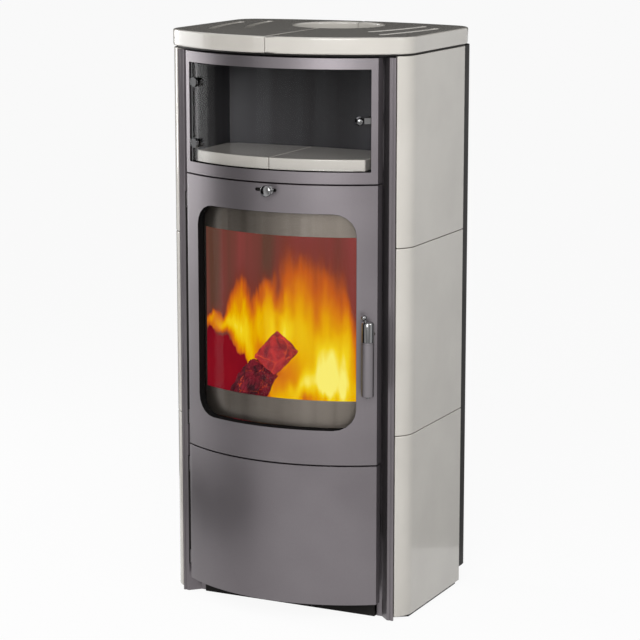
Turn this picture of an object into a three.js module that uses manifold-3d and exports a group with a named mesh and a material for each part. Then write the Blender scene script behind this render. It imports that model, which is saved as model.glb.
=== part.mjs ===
// Tiled wood stove with a glazed fire door, a warming compartment above it and a
// storage compartment below. Millimetres, +Z up, front facing -Y, origin on the
// floor under the middle of the stove's outer box.
import * as THREE from 'three';
import { mergeVertices } from 'three/addons/utils/BufferGeometryUtils.js';
import Module from 'manifold-3d';

const wasm = await Module();
wasm.setup();

// ---------------------------------------------------------------- dimensions
const HEIGHT = 1200;
const GAP = 0.3; // between pieces that touch

// curved front: doors and compartment frame are bent to one radius
const FRONT_RADIUS = 384;
const FRONT_AXIS_Y = 162.5;
const DOOR_HALF = 216.5;
const DOOR_SHEET = 3;
const DOOR_DEPTH = 22;

// heights of the three fronts, with the gaps between them
const LOWER_DOOR = [36.5, 330];
const FIRE_DOOR = [333.5, 906];
const COMPARTMENT = [909.5, 1159];

// window of the fire door
const WINDOW_HALF = 180;
const WINDOW = [405.5, 848.5];
const WINDOW_CORNER = 43;

// opening of the warming compartment
const SHOW_HALF = 205;
const SHOW = [933, 1137];

// ceramic top in two halves
const TOP_THICKNESS = 34;
const TOP_UNDERSIDE = HEIGHT - TOP_THICKNESS;
const TOP_HALF = 271.5;
const TOP_FRONT_RADIUS = 405;
const TOP_FRONT_Y = -223;
const TOP_CORNER = 50;
const TOP_REAR_RADIUS = 850;
const TOP_REAR_Y = 245.5;
const TOP_REAR_CORNER = 52;
const TOP_EDGE = 4;
const FLUE_Y = 117.4;
const FLUE_HOLE = 97;

// side tiles, three on each side
const TILE_FACE = 271;
const TILE_THICKNESS = 22;
const TILE_CORNER = 50;
const TILE_CORNER_Y = -92.7;
const TILE_CORNER_SWEEP = 57; // degrees of the corner before the front edge
const TILE_REAR_Y = 159.5;
const TILE_JOINTS = [8.5, 392, 778.5, 1162.2];
const TILE_JOINT_GAP = 1.4;

// front corner profiles
const PROFILE_FRONT_Y = -136;
const PROFILE_OUTER = 246;
const PROFILE_INNER = 232.5;
const PROFILE_FLANK = 19.8;
const PROFILE_WALL = 2.5;
const PROFILE_LIP = 12.2;
const PROFILE_GROOVE = { from: 7.5, to: 5, deep: 1.2 };
const PROFILE_RETURN = 4.4;

// steel body
const BODY_SIDE = 232;
const BODY_SHEET = 2;
const BODY_FRONT_Y = -113.4;
const BODY_REAR_Y = 203;
const BODY_TOP = 1160;
const BODY_FOOT = 7.8;
const REAR_COVER_HALF = 262;
const REAR_COVER_Y = 237.5;
const REAR_COVER_CORNER = 40;
const FIREBOX_HALF = 199;
const FIREBOX_WALL = 3;
const FIREBOX_REAR_Y = 192;
const HEARTH_Z = 336;
const FIREBOX_TOP = 880;
const BRICK = 28;
const BRICK_FLOOR_TOP = 366;
const BRICK_WALL_TOP = 790;

// hinge line shared by the two steel doors, and the one of the glass door
const HINGE_X = -220;
const HINGE_Y = -142.5;
const HINGE_PIN = 2.4;
const HINGE_KNUCKLE = 4.6;
const GLASS_HINGE_X = -200;
const GLASS_HINGE_Y = -159.5;

// handle of the fire door, turning about a shaft along Y
const HANDLE_X = 209.5;
const HANDLE_Y = -184.5;
const HANDLE_Z = 606;
const HANDLE_SHAFT = 3.4;
const CAM_Y = [-131.4, -128.8];

// air slide in the top rail of the fire door
const AIR_X = 10;
const AIR_Z = 893.5;
const AIR_SLOT_HALF = 24;
const AIR_SLOT_TALL = 7.2;
const AIR_PIN = 3;
const AIR_PLATE_HALF = 46;
const AIR_PLATE_TALL = 17;

const FLUE_RADIUS = 75;
const FLUE_WALL = 2;
const AIR_PIPE_RADIUS = 50;
const AIR_PIPE_Z = 122;
const REAR_OUTLET_Z = 1010;

// ---------------------------------------------------------------- finishes
function finish(color, roughness, metalness) {
  return new THREE.MeshStandardMaterial({ color, roughness, metalness });
}

const ceramic = finish(0xcdc7bf, 0.2, 0);
const paintedSteel = finish(0x77727a, 0.38, 0.55);
const blackSteel = finish(0x1d1c1c, 0.6, 0.3);
const chrome = finish(0xd6d6d6, 0.08, 1);
const brushedSteel = finish(0x8d8b89, 0.35, 0.9);
const clearGlass = finish(0x3a3c3c, 0.05, 0);
const castIron = finish(0x2b2a29, 0.75, 0.4);
const firebrick = finish(0xbfa888, 0.9, 0);
const sealRope = finish(0x3b3a38, 0.95, 0);

// ---------------------------------------------------------------- solids
function toSolid(geometry) {
  const bare = geometry.clone();
  bare.deleteAttribute('normal');
  bare.deleteAttribute('uv');
  const merged = mergeVertices(bare, 1e-4);
  return new wasm.Manifold(new wasm.Mesh({
    numProp: 3,
    vertProperties: new Float32Array(merged.attributes.position.array),
    triVerts: new Uint32Array(merged.index.array),
  }));
}

function toGeometry(solid) {
  const mesh = solid.getMesh();
  const geometry = new THREE.BufferGeometry();
  geometry.setAttribute('position', new THREE.BufferAttribute(mesh.vertProperties, 3));
  geometry.setIndex(new THREE.BufferAttribute(mesh.triVerts, 1));
  geometry.computeVertexNormals();
  return geometry;
}

function shapeOf(points) {
  return new THREE.Shape(points.map(([a, b]) => new THREE.Vector2(a, b)));
}

// a plan outline [x, y] raised from z0 to z1
function prism(points, z0, z1) {
  const geometry = new THREE.ExtrudeGeometry(shapeOf(points), { depth: z1 - z0, bevelEnabled: false });
  return toSolid(geometry.translate(0, 0, z0));
}

// a front outline [x, z] pushed through from y0 to y1
function frontPrism(points, y0, y1) {
  const geometry = new THREE.ExtrudeGeometry(shapeOf(points), { depth: y1 - y0, bevelEnabled: false });
  return toSolid(geometry.rotateX(Math.PI / 2).translate(0, y1, 0));
}

function box(x0, x1, y0, y1, z0, z1) {
  const geometry = new THREE.BoxGeometry(x1 - x0, y1 - y0, z1 - z0);
  return toSolid(geometry.translate((x0 + x1) / 2, (y0 + y1) / 2, (z0 + z1) / 2));
}

// a round bar between two points
function rod(from, to, radius, sides = 20) {
  const start = new THREE.Vector3(...from);
  const along = new THREE.Vector3(...to).sub(start);
  const geometry = new THREE.CylinderGeometry(radius, radius, along.length(), sides);
  geometry.translate(0, along.length() / 2, 0);
  const turn = new THREE.Quaternion();
  turn.setFromUnitVectors(new THREE.Vector3(0, 1, 0), along.clone().normalize());
  geometry.applyQuaternion(turn);
  geometry.translate(start.x, start.y, start.z);
  return toSolid(geometry);
}

// a turned shape: profile [radius, along], axis from a point towards a direction
function turned(profile, from, direction, sides = 24) {
  const geometry = new THREE.LatheGeometry(profile.map(([r, h]) => new THREE.Vector2(r, h)), sides);
  const turn = new THREE.Quaternion();
  turn.setFromUnitVectors(new THREE.Vector3(0, 1, 0), new THREE.Vector3(...direction).normalize());
  geometry.applyQuaternion(turn);
  geometry.translate(...from);
  return toSolid(geometry);
}

function join(...solids) {
  return solids.reduce((whole, solid) => whole.add(solid));
}

function cut(solid, ...tools) {
  return tools.reduce((rest, tool) => rest.subtract(tool), solid);
}

function mirrorX(solid) {
  return solid.mirror([1, 0, 0]);
}

// ---------------------------------------------------------------- outlines
function arc(centreX, centreY, radius, from, to, steps) {
  const points = [];
  for (let i = 0; i <= steps; i += 1) {
    const angle = THREE.MathUtils.degToRad(from + ((to - from) * i) / steps);
    points.push([centreX + radius * Math.cos(angle), centreY + radius * Math.sin(angle)]);
  }
  return points;
}

// y of the curved front at x, set back by offset
function frontY(x, offset = 0) {
  return FRONT_AXIS_Y + offset - Math.sqrt(FRONT_RADIUS ** 2 - x ** 2);
}

function frontCurve(x0, x1, offset, steps) {
  const start = Math.asin(x0 / FRONT_RADIUS);
  const end = Math.asin(x1 / FRONT_RADIUS);
  const points = [];
  for (let i = 0; i <= steps; i += 1) {
    const x = FRONT_RADIUS * Math.sin(start + ((end - start) * i) / steps);
    points.push([x, frontY(x, offset)]);
  }
  return points;
}

// curved plate between two set-backs from the front surface
function band(x0, x1, front, back, z0, z1) {
  const steps = Math.max(4, Math.round(Math.abs(x1 - x0) / 24));
  const outline = [...frontCurve(x0, x1, front, steps), ...frontCurve(x1, x0, back, steps)];
  return prism(outline, z0, z1);
}

function roundedRectangle(x0, x1, z0, z1, radius, steps = 5) {
  return [
    ...arc(x1 - radius, z0 + radius, radius, -90, 0, steps),
    ...arc(x1 - radius, z1 - radius, radius, 0, 90, steps),
    ...arc(x0 + radius, z1 - radius, radius, 90, 180, steps),
    ...arc(x0 + radius, z0 + radius, radius, 180, 270, steps),
  ];
}

// rounded rectangle through the curved front, centred on the stove
function frontHole(half, z0, z1, radius) {
  const deep = 260;
  return frontPrism(roundedRectangle(-half, half, z0, z1, radius), -deep, 0);
}

// right half of the ceramic top's outline, set in by inset
function topHalfOutline(inset, split) {
  const frontCentre = TOP_FRONT_Y + TOP_FRONT_RADIUS;
  const cornerX = TOP_HALF - TOP_CORNER;
  const reach = TOP_FRONT_RADIUS - TOP_CORNER;
  const cornerY = frontCentre - Math.sqrt(reach ** 2 - cornerX ** 2);
  const cornerAngle = THREE.MathUtils.radToDeg(Math.atan2(cornerY - frontCentre, cornerX));
  const rearCentre = TOP_REAR_Y - TOP_REAR_RADIUS;
  const rearX = TOP_HALF - TOP_REAR_CORNER;
  const rearReach = TOP_REAR_RADIUS - TOP_REAR_CORNER;
  const rearY = rearCentre + Math.sqrt(rearReach ** 2 - rearX ** 2);
  const rearAngle = THREE.MathUtils.radToDeg(Math.atan2(rearY - rearCentre, rearX));
  const frontRadius = TOP_FRONT_RADIUS - inset;
  const rearRadius = TOP_REAR_RADIUS - inset;
  const splitAngle = THREE.MathUtils.radToDeg(Math.asin(split / frontRadius));
  const rearSplit = THREE.MathUtils.radToDeg(Math.asin(split / rearRadius));
  return [
    ...arc(0, frontCentre, frontRadius, -90 + splitAngle, cornerAngle, 10),
    ...arc(cornerX, cornerY, TOP_CORNER - inset, cornerAngle, 0, 6).slice(1),
    ...arc(rearX, rearY, TOP_REAR_CORNER - inset, 0, rearAngle, 6),
    ...arc(0, rearCentre, rearRadius, rearAngle, 90 - rearSplit, 6).slice(1),
  ];
}

// curved air slot in plan: a bent line of even width with round ends
function slotOutline(from, to, bow, width) {
  const [ax, ay] = from;
  const [bx, by] = to;
  const length = Math.hypot(bx - ax, by - ay);
  const side = [(by - ay) / length, -(bx - ax) / length];
  const middle = [(ax + bx) / 2 + 2 * bow * side[0], (ay + by) / 2 + 2 * bow * side[1]];
  const curve = new THREE.QuadraticBezierCurve(
    new THREE.Vector2(ax, ay), new THREE.Vector2(...middle), new THREE.Vector2(bx, by));
  const steps = 8;
  const right = [];
  const left = [];
  for (let i = 0; i <= steps; i += 1) {
    const point = curve.getPoint(i / steps);
    const along = curve.getTangent(i / steps);
    right.push([point.x + (along.y * width) / 2, point.y - (along.x * width) / 2]);
    left.push([point.x - (along.y * width) / 2, point.y + (along.x * width) / 2]);
  }
  const end = curve.getTangent(1);
  const start = curve.getTangent(0);
  const endAngle = THREE.MathUtils.radToDeg(Math.atan2(end.y, end.x));
  const startAngle = THREE.MathUtils.radToDeg(Math.atan2(start.y, start.x));
  return [
    ...right,
    ...arc(bx, by, width / 2, endAngle - 90, endAngle + 90, 4).slice(1, -1),
    ...left.reverse(),
    ...arc(ax, ay, width / 2, startAngle + 90, startAngle + 270, 4).slice(1, -1),
  ];
}

const AIR_SLOTS = [
  { from: [193, -85.5], to: [226, 107.5] },
  { from: [141, -25], to: [180, 151] },
];
const AIR_SLOT_BOW = 7;
const AIR_SLOT_WIDTH = 11;

// ---------------------------------------------------------------- assembly
const group = new THREE.Group();

function add(name, solid, material) {
  const mesh = new THREE.Mesh(toGeometry(solid), material);
  mesh.name = name;
  group.add(mesh);
}

// a piece on the right, and its mirror image on the left
function addPair(name, solid, material) {
  add(`${name}_right`, solid, material);
  add(`${name}_left`, mirrorX(solid), material);
}

// ---- base
const BASE_TOP = 7.5;
const BASE_FRONT_Y = -124;
const BASE_RAIL = { wall: 3, top: 27 };

function basePlate() {
  const betweenProfiles = PROFILE_INNER - PROFILE_FLANK - PROFILE_LIP - 1.5;
  const underTile = TILE_FACE - 8;
  const rightSide = [
    [betweenProfiles, BASE_FRONT_Y],
    [betweenProfiles, BODY_FRONT_Y],
    [BODY_SIDE + 3, BODY_FRONT_Y],
    [underTile, TILE_CORNER_Y],
    [underTile, TILE_REAR_Y - 4],
    [BODY_SIDE + 14, BODY_REAR_Y],
  ];
  const leftSide = rightSide.map(([x, y]) => [-x, y]).reverse();
  const plate = prism([...rightSide, ...leftSide], 0, BASE_TOP);
  const rail = (half, y) => box(-half, half, y, y + BASE_RAIL.wall, BASE_TOP, BASE_RAIL.top);
  const frontRail = rail(betweenProfiles, BASE_FRONT_Y);
  const rearRail = rail(BODY_SIDE - 10, BODY_REAR_Y - BASE_RAIL.wall - 1);
  return join(plate, frontRail, rearRail);
}

add('base_plate', basePlate(), blackSteel);

// ---- front corner profiles: face with a groove, sloping flank and a lip
function cornerProfile() {
  const front = PROFILE_FRONT_Y;
  const flankX = PROFILE_INNER - PROFILE_FLANK;
  const flankY = front + PROFILE_FLANK;
  const lipX = flankX - PROFILE_LIP;
  const { from, to, deep } = PROFILE_GROOVE;
  const outline = [
    [PROFILE_OUTER, front + PROFILE_RETURN],
    [PROFILE_OUTER - PROFILE_WALL, front + PROFILE_RETURN],
    [PROFILE_OUTER - PROFILE_WALL, front + PROFILE_WALL],
    [PROFILE_INNER + 1, front + PROFILE_WALL],
    [flankX + 1, flankY + PROFILE_WALL],
    [lipX, flankY + PROFILE_WALL],
    [lipX, flankY],
    [flankX, flankY],
    [PROFILE_INNER, front],
    [PROFILE_OUTER - from, front],
    [PROFILE_OUTER - from, front + deep],
    [PROFILE_OUTER - to, front + deep],
    [PROFILE_OUTER - to, front],
    [PROFILE_OUTER, front],
  ];
  return prism(outline, 0, COMPARTMENT[1] + 0.5);
}

addPair('corner_profile', cornerProfile(), paintedSteel);

// ---- side tiles: flat face, rounded front corner
function sideTile(z0, z1) {
  const inner = TILE_CORNER - TILE_THICKNESS;
  const centreX = TILE_FACE - TILE_CORNER;
  const outline = [
    ...arc(centreX, TILE_CORNER_Y, TILE_CORNER, -TILE_CORNER_SWEEP, 0, 8),
    [TILE_FACE, TILE_REAR_Y],
    [TILE_FACE - TILE_THICKNESS, TILE_REAR_Y],
    ...arc(centreX, TILE_CORNER_Y, inner, 0, -TILE_CORNER_SWEEP, 6),
  ];
  return prism(outline, z0, z1);
}

['lower', 'middle', 'upper'].forEach((level, i) => {
  const foot = TILE_JOINTS[i] + (i > 0 ? TILE_JOINT_GAP / 2 : 0);
  const head = TILE_JOINTS[i + 1] - (i < 2 ? TILE_JOINT_GAP / 2 : 0);
  addPair(`side_tile_${level}`, sideTile(foot, head), ceramic);
});

// ---- steel side panels, with the lip behind the profile and two tile ledges
const LEDGE = { y: [20, 60], wall: 3, below: 30 };

function sidePanel() {
  const behindTile = TILE_FACE - TILE_THICKNESS - GAP;
  const ledge = (joint) => {
    const z = joint - LEDGE.below;
    return box(BODY_SIDE + BODY_SHEET, behindTile, ...LEDGE.y, z, z + LEDGE.wall);
  };
  const web = box(BODY_SIDE, BODY_SIDE + BODY_SHEET, BODY_FRONT_Y, BODY_REAR_Y - GAP, BODY_FOOT, BODY_TOP);
  const lip = box(FIREBOX_HALF + 4, BODY_SIDE, BODY_FRONT_Y, BODY_FRONT_Y + BODY_SHEET, BODY_FOOT, BODY_TOP);
  return join(web, lip, ledge(TILE_JOINTS[1]), ledge(TILE_JOINTS[2]));
}

addPair('side_panel', sidePanel(), blackSteel);

// ---- rear cover: wraps round the back corners and is louvred low and high
const REAR_COVER = { foot: 32, top: 1162, wall: 2, lip: 12 };
const LOUVRES = { rows: 5, pitch: 22, height: 6, half: 70, centre: 110, firstRow: [230, 850] };

// a hole square through the back, at height z
function backHole(z, radius) {
  return rod([0, BODY_REAR_Y - 12, z], [0, TOP_REAR_Y + 5, z], radius, 32);
}

function rearCover() {
  const { foot, top, wall, lip } = REAR_COVER;
  const cornerX = REAR_COVER_HALF - REAR_COVER_CORNER;
  const cornerY = REAR_COVER_Y - REAR_COVER_CORNER;
  const frontEdge = TILE_REAR_Y + 2;
  const outside = [[REAR_COVER_HALF, frontEdge], ...arc(cornerX, cornerY, REAR_COVER_CORNER, 0, 90, 6)];
  const inside = [
    ...arc(cornerX, cornerY, REAR_COVER_CORNER - wall, 90, 0, 6),
    [REAR_COVER_HALF - wall, frontEdge + wall],
    [REAR_COVER_HALF - lip, frontEdge + wall],
    [REAR_COVER_HALF - lip, frontEdge],
  ];
  const flip = ([x, y]) => [-x, y];
  const outline = [...outside, ...outside.map(flip).reverse(), ...inside.map(flip).reverse(), ...inside];
  const holes = [backHole(AIR_PIPE_Z, AIR_PIPE_RADIUS + 2), backHole(REAR_OUTLET_Z, FLUE_RADIUS + 2)];
  for (let row = 0; row < LOUVRES.rows; row += 1) {
    for (const x of [-LOUVRES.centre, LOUVRES.centre]) {
      for (const first of LOUVRES.firstRow) {
        const z = first + row * LOUVRES.pitch;
        const [x0, x1] = [x - LOUVRES.half, x + LOUVRES.half];
        holes.push(box(x0, x1, REAR_COVER_Y - 5, TOP_REAR_Y, z, z + LOUVRES.height));
      }
    }
  }
  return cut(prism(outline, foot, top), ...holes);
}

add('rear_cover', rearCover(), blackSteel);

function carcassBack() {
  const half = BODY_SIDE + BODY_SHEET;
  const plate = box(-half, half, BODY_REAR_Y, BODY_REAR_Y + BODY_SHEET, BODY_FOOT, BODY_TOP);
  return cut(plate, backHole(AIR_PIPE_Z, AIR_PIPE_RADIUS + 1), backHole(REAR_OUTLET_Z, FLUE_RADIUS + 1));
}

add('carcass_back', carcassBack(), blackSteel);

// ---- air inlet pipe for outside air, low on the back
function pipe(from, to, radius, wall, sides) {
  const reach = 1;
  const longer = (point, other) => point.map((v, i) => v + Math.sign(v - other[i]) * reach);
  return cut(rod(from, to, radius, sides), rod(longer(from, to), longer(to, from), radius - wall, sides));
}

const AIR_PIPE_Y = [150, 243];
add('air_inlet_pipe', pipe(
  [0, AIR_PIPE_Y[0], AIR_PIPE_Z], [0, AIR_PIPE_Y[1], AIR_PIPE_Z], AIR_PIPE_RADIUS, 2, 32), blackSteel);

// ---- blanking plate over the rear flue outlet
function outletCover() {
  const disc = (y0, y1, radius) => rod([0, y0, REAR_OUTLET_Z], [0, y1, REAR_OUTLET_Z], radius, 32);
  const flange = disc(REAR_COVER_Y + GAP, REAR_COVER_Y + 3, FLUE_RADIUS + 8);
  const plug = disc(BODY_REAR_Y + 4, REAR_COVER_Y + 1, FLUE_RADIUS - 1);
  return join(flange, plug);
}

add('rear_outlet_cover', outletCover(), blackSteel);

// ---- ceramic top: two halves, meeting on the middle line round the flue hole
function topHalf() {
  const split = 0.7;
  const outline = (inset) => topHalfOutline(inset, split);
  const body = prism(outline(0), TOP_UNDERSIDE + TOP_EDGE, HEIGHT - TOP_EDGE);
  const shoulder = TOP_EDGE * (1 - Math.SQRT1_2);
  const rim = prism(outline(shoulder), TOP_UNDERSIDE + shoulder, HEIGHT - shoulder);
  const face = prism(outline(TOP_EDGE), TOP_UNDERSIDE, HEIGHT);
  const hole = rod([0, FLUE_Y, TOP_UNDERSIDE - 5], [0, FLUE_Y, HEIGHT + 5], FLUE_HOLE, 40);
  const slots = AIR_SLOTS.map(({ from, to }) => (
    prism(slotOutline(from, to, AIR_SLOT_BOW, AIR_SLOT_WIDTH), TOP_UNDERSIDE - 5, HEIGHT + 5)));
  return cut(join(body, rim, face), hole, ...slots);
}

addPair('top_plate', topHalf(), ceramic);

// ---- steel frame that carries the ceramic top
const TOP_FRAME_INSET = 7;

function topFrame() {
  const half = topHalfOutline(TOP_FRAME_INSET, 0);
  const outline = [...half, ...half.map(([x, y]) => [-x, y]).reverse().slice(1, -1)];
  const z0 = TILE_JOINTS[3] + GAP;
  const z1 = TOP_UNDERSIDE - GAP;
  let frame = prism(outline, z0, z1);
  frame = cut(frame, rod([0, FLUE_Y, z0 - 2], [0, FLUE_Y, z1 + 2], FLUE_RADIUS + 9, 40));
  AIR_SLOTS.forEach(({ from, to }) => {
    const slot = prism(slotOutline(from, to, AIR_SLOT_BOW, AIR_SLOT_WIDTH + 6), z0 - 2, z1 + 2);
    frame = cut(frame, slot, mirrorX(slot));
  });
  return frame;
}

add('top_frame', topFrame(), blackSteel);

// ---- warming compartment: curved front frame and a folded liner
function compartmentFrame() {
  const [z0, z1] = COMPARTMENT;
  const shell = band(-DOOR_HALF, DOOR_HALF, 0, DOOR_DEPTH, z0, z1);
  const inner = band(-DOOR_HALF + DOOR_SHEET, DOOR_HALF - DOOR_SHEET, DOOR_SHEET, DOOR_DEPTH + 2,
    z0 + DOOR_SHEET, z1 - DOOR_SHEET);
  const reveal = frontHole(SHOW_HALF + DOOR_SHEET, SHOW[0] - DOOR_SHEET, SHOW[1] + DOOR_SHEET, 3);
  const opening = frontHole(SHOW_HALF, ...SHOW, 1.5);
  return cut(shell, cut(inner, reveal), opening);
}

add('compartment_frame', compartmentFrame(), paintedSteel);

const LINER_HALF = 197;
const LINER_SIDE_Y = -4;
const LINER_BACK_HALF = 81;
const LINER_BACK_Y = 29;

function linerFloor(z0, z1) {
  const outline = [
    ...frontCurve(-LINER_HALF, LINER_HALF, DOOR_DEPTH + GAP, 12),
    [LINER_HALF, LINER_SIDE_Y],
    [LINER_BACK_HALF, LINER_BACK_Y],
    [-LINER_BACK_HALF, LINER_BACK_Y],
    [-LINER_HALF, LINER_SIDE_Y],
  ];
  return prism(outline, z0, z1);
}

const LINER_FLOOR = [930.5, 932.5];
const LINER_CEILING = [1138, 1140];
add('compartment_floor', linerFloor(...LINER_FLOOR), blackSteel);
add('compartment_ceiling', linerFloor(...LINER_CEILING), blackSteel);

// one folded sheet: left side, back with its raised middle, right side
function linerWall() {
  const wall = 2;
  const front = frontY(LINER_HALF, DOOR_DEPTH) + 3;
  const outer = [[LINER_HALF, front], [LINER_HALF, LINER_SIDE_Y], [LINER_BACK_HALF, LINER_BACK_Y]];
  const inner = [
    [LINER_BACK_HALF, LINER_BACK_Y - wall],
    [LINER_HALF - wall, LINER_SIDE_Y - wall],
    [LINER_HALF - wall, front],
  ];
  const flip = ([x, y]) => [-x, y];
  const outline = [...outer, ...outer.map(flip).reverse(), ...inner.map(flip).reverse(), ...inner];
  return prism(outline, LINER_FLOOR[1] + GAP, LINER_CEILING[0] - GAP);
}

add('compartment_liner', linerWall(), blackSteel);

// ---- two ceramic shelf tiles with a curved front edge
const SHELF = { half: 190, setBack: 13, split: 0.6, thickness: 23.7, chamfer: 22 };

function shelfTile() {
  const { half, setBack, split, thickness, chamfer } = SHELF;
  const foot = SHOW[0] + GAP;
  const outline = [
    ...frontCurve(split, half, setBack, 8),
    [half, LINER_SIDE_Y - 30],
    [half - chamfer, LINER_SIDE_Y - 12],
    [split, LINER_SIDE_Y - 4],
  ];
  return prism(outline, foot, foot + thickness);
}

addPair('shelf_tile', shelfTile(), ceramic);

// ---- glass door of the warming compartment
const SHOW_GLASS = { front: 4.5, back: 8.5, left: -196, right: 201, z0: 935.5, z1: 1134.5 };
const GLASS_KNOB = { x: 183, z: 1035 };
const GLASS_CLAMP_X = -186;
const GLASS_CLAMP_Z = [972, 1097];

function showGlass(grow = 0) {
  const g = SHOW_GLASS;
  return band(g.left - grow, g.right + grow, g.front - grow, g.back + grow, g.z0 - grow, g.z1 + grow);
}

function knobAxis(x) {
  const normal = new THREE.Vector3(x, -Math.sqrt(FRONT_RADIUS ** 2 - x ** 2), 0).normalize();
  return [normal.x, normal.y, 0];
}

function pointOnGlass(x, z, out) {
  const [nx, ny] = knobAxis(x);
  return [x + nx * out, frontY(x, SHOW_GLASS.front) + ny * out, z];
}

// a bar square to the glass, between two distances from its front face
function acrossGlass(x, z, from, to, radius, sides = 20) {
  return rod(pointOnGlass(x, z, from), pointOnGlass(x, z, to), radius, sides);
}

const GLASS_BOLT = 3;
const GLASS_CLAMP = { front: 10, rear: 8.5, knuckle: 4.2, half: 7 };
const GLASS_ROD = 2;

function compartmentGlass() {
  const bore = (x, z) => acrossGlass(x, z, -12, 8, GLASS_BOLT + GAP, 16);
  const clampBores = GLASS_CLAMP_Z.map((z) => bore(GLASS_CLAMP_X, z));
  return cut(showGlass(), bore(GLASS_KNOB.x, GLASS_KNOB.z), ...clampBores);
}

add('compartment_glass', compartmentGlass(), clearGlass);

function onGlassHinge(z0, z1, radius, sides) {
  return rod([GLASS_HINGE_X, GLASS_HINGE_Y, z0], [GLASS_HINGE_X, GLASS_HINGE_Y, z1], radius, sides);
}

// a cap on each face of the glass, a bolt between them, and an arm to the hinge rod
function glassClamp(z) {
  const { half } = GLASS_CLAMP;
  const front = acrossGlass(GLASS_CLAMP_X, z, -3, 6, GLASS_CLAMP.front);
  const rear = acrossGlass(GLASS_CLAMP_X, z, -12, -3, GLASS_CLAMP.rear);
  const bolt = acrossGlass(GLASS_CLAMP_X, z, -8, 3, GLASS_BOLT, 16);
  const arm = box(GLASS_HINGE_X, GLASS_CLAMP_X, GLASS_HINGE_Y - 4, GLASS_HINGE_Y + 4, z - half, z + half);
  const barrel = onGlassHinge(z - half, z + half, GLASS_CLAMP.knuckle, 20);
  const bore = onGlassHinge(z - half - 5, z + half + 5, GLASS_ROD + GAP, 16);
  return cut(join(cut(join(front, rear, arm, barrel), showGlass(GAP)), bolt), bore);
}

add('glass_clamp_lower', glassClamp(GLASS_CLAMP_Z[0]), chrome);
add('glass_clamp_upper', glassClamp(GLASS_CLAMP_Z[1]), chrome);
add('glass_hinge_rod', onGlassHinge(SHOW[0] + GAP, SHOW[1] - GAP, GLASS_ROD, 16), chrome);

function glassKnob() {
  const head = turned(
    [[0, 0], [9, 0], [9.5, 1.5], [6, 4], [4.2, 8], [6.5, 12], [7, 15], [5, 17.5], [0, 18]],
    pointOnGlass(GLASS_KNOB.x, GLASS_KNOB.z, GAP), knobAxis(GLASS_KNOB.x), 16);
  const washer = cut(acrossGlass(GLASS_KNOB.x, GLASS_KNOB.z, -8, -2, 7), showGlass(GAP));
  return join(head, washer, acrossGlass(GLASS_KNOB.x, GLASS_KNOB.z, -8, 3, GLASS_BOLT, 16));
}

add('glass_knob', glassKnob(), chrome);

// small plate clipped on the free edge of the glass, held by the magnet behind it
const CATCH = { x: [192, 203.4], half: 6 };
const GLASS_MAGNET = { x: [193, 204.7], y: [-150.5, -142.8], half: 9 };

function glassCatchPlate() {
  const { z } = GLASS_KNOB;
  const plate = band(
    ...CATCH.x, SHOW_GLASS.front - 1.8, SHOW_GLASS.back + 2.2, z - CATCH.half, z + CATCH.half);
  return cut(plate, showGlass(GAP));
}

add('glass_catch_plate', glassCatchPlate(), chrome);
add('glass_door_magnet', box(
  ...GLASS_MAGNET.x, ...GLASS_MAGNET.y,
  GLASS_KNOB.z - GLASS_MAGNET.half, GLASS_KNOB.z + GLASS_MAGNET.half), blackSteel);

// ---- fire door: bent panel with folded edges and a solid rim round the window
const RIM_HALF = 205;
const RIM = [380.5, 873.5];

function knuckle(z0, z1) {
  const barrel = rod([HINGE_X, HINGE_Y, z0], [HINGE_X, HINGE_Y, z1], HINGE_KNUCKLE, 20);
  const arm = box(HINGE_X, -DOOR_HALF + 1, HINGE_Y - HINGE_KNUCKLE, HINGE_Y + 2, z0, z1);
  return join(barrel, arm);
}

function knuckleBore(z0, z1) {
  return rod([HINGE_X, HINGE_Y, z0 - 3], [HINGE_X, HINGE_Y, z1 + 3], HINGE_PIN + GAP, 16);
}

const HINGE_LENGTH = 28;
const FIRE_HINGES = [FIRE_DOOR[0] + 40, FIRE_DOOR[1] - 40 - HINGE_LENGTH];
const LOWER_HINGES = [LOWER_DOOR[0] + 30, LOWER_DOOR[1] - 30 - HINGE_LENGTH];

function bentDoor(z0, z1, depth) {
  const shell = band(-DOOR_HALF, DOOR_HALF, 0, depth, z0, z1);
  const inner = band(-DOOR_HALF + DOOR_SHEET, DOOR_HALF - DOOR_SHEET, DOOR_SHEET, depth + 2,
    z0 + DOOR_SHEET, z1 - DOOR_SHEET);
  return { shell, inner };
}

function hinged(door, hinges) {
  let result = door;
  hinges.forEach((z) => {
    result = cut(join(result, knuckle(z, z + HINGE_LENGTH)), knuckleBore(z, z + HINGE_LENGTH));
  });
  return result;
}

function fireDoor() {
  const { shell, inner } = bentDoor(...FIRE_DOOR, DOOR_DEPTH);
  const rim = frontHole(RIM_HALF, ...RIM, 30);
  const windowHole = frontHole(WINDOW_HALF, ...WINDOW, WINDOW_CORNER);
  const airSlot = frontHole(AIR_SLOT_HALF, AIR_Z - AIR_SLOT_TALL / 2, AIR_Z + AIR_SLOT_TALL / 2, 3.4);
  const shaftBore = rod(
    [HANDLE_X, TOP_FRONT_Y, HANDLE_Z], [HANDLE_X, CAM_Y[1], HANDLE_Z], HANDLE_SHAFT + 0.4, 16);
  const panel = cut(shell, cut(inner, rim), windowHole, airSlot);
  return cut(hinged(panel, FIRE_HINGES), shaftBore);
}

add('fire_door_panel', fireDoor(), paintedSteel);

// ring on the inside of the door, between two rounded rectangles
function ring(outerHalf, outerZ, outerRadius, innerHalf, innerZ, innerRadius, front, back) {
  const sheet = band(-outerHalf - 2, outerHalf + 2, front, back, outerZ[0] - 2, outerZ[1] + 2);
  const keep = frontHole(outerHalf, ...outerZ, outerRadius);
  return cut(sheet.intersect(keep), frontHole(innerHalf, ...innerZ, innerRadius));
}

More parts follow.
